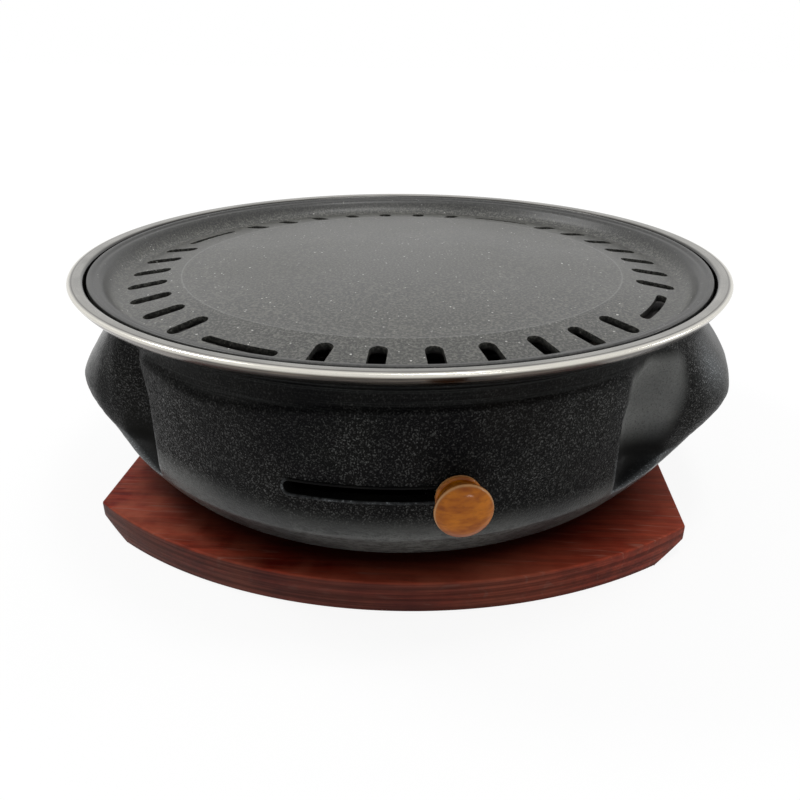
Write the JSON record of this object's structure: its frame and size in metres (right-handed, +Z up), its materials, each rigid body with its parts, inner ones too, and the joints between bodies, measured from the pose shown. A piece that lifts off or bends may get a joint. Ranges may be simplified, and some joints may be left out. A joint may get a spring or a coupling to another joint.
{
  "type": "charcoal brazier",
  "caption": "Round tabletop charcoal brazier: black cast shell with ears, sliding air damper with a wooden knob, steel trim ring, slotted domed grill plate, wooden tray.",
  "frame": {"origin": "middle of the tray's underside, under the middle of the round parts", "axes": "+Z up, front with the air slot and knob towards -Y, ears towards +X and -X"},
  "size_m": [0.3411, 0.334, 0.1224],
  "materials": {
    "stained_wood": "dark red-brown stain, satin varnish",
    "black_casting": "rough black enamel, half gloss",
    "bare_casting": "dull, as cast",
    "steel": "zinc plated",
    "stainless": "polished stainless",
    "brass": "plain",
    "varnished_wood": "amber varnish, gloss",
    "coated_plate": "dark non-stick coating with pale specks"
  },
  "bodies": {
    "tray": {"wooden_tray": "stained_wood"},
    "shell": {"cast_shell": "black_casting", "pivot_screw": "steel", "pivot_washer": "steel"},
    "damper": {"damper_disc": "steel", "damper_arm": "steel", "arm_rivet_inner": "steel", "arm_rivet_outer": "steel", "knob_screw": "steel", "knob_washer": "steel", "slot_sleeve": "steel", "knob_insert": "brass", "wooden_knob": "varnished_wood"},
    "liner": {"fire_bowl": "bare_casting"},
    "grate": {"charcoal_grate": "bare_casting"},
    "ring": {"trim_ring": "stainless"},
    "plate": {"grill_plate": "coated_plate"}
  },
  "joints": [
    {"name": "shell_lift", "type": "slide", "parent": "tray", "child": "shell", "axis": [0, 0, 1], "range_m": [0, 0.04]},
    {"name": "damper_turn", "type": "hinge", "parent": "shell", "child": "damper", "pos_m": [0, 0, 0.0456], "axis": [0, 0, 1], "range_deg": [-25.6, 0]},
    {"name": "liner_lift", "type": "slide", "parent": "shell", "child": "liner", "axis": [0, 0, 1], "range_m": [0, 0.08]},
    {"name": "grate_lift", "type": "slide", "parent": "liner", "child": "grate", "axis": [0, 0, 1], "range_m": [0, 0.04]},
    {"name": "ring_lift", "type": "slide", "parent": "liner", "child": "ring", "axis": [0, 0, 1], "range_m": [0, 0.03]},
    {"name": "plate_lift", "type": "slide", "parent": "ring", "child": "plate", "axis": [0, 0, 1], "range_m": [0, 0.04]}
  ]
}
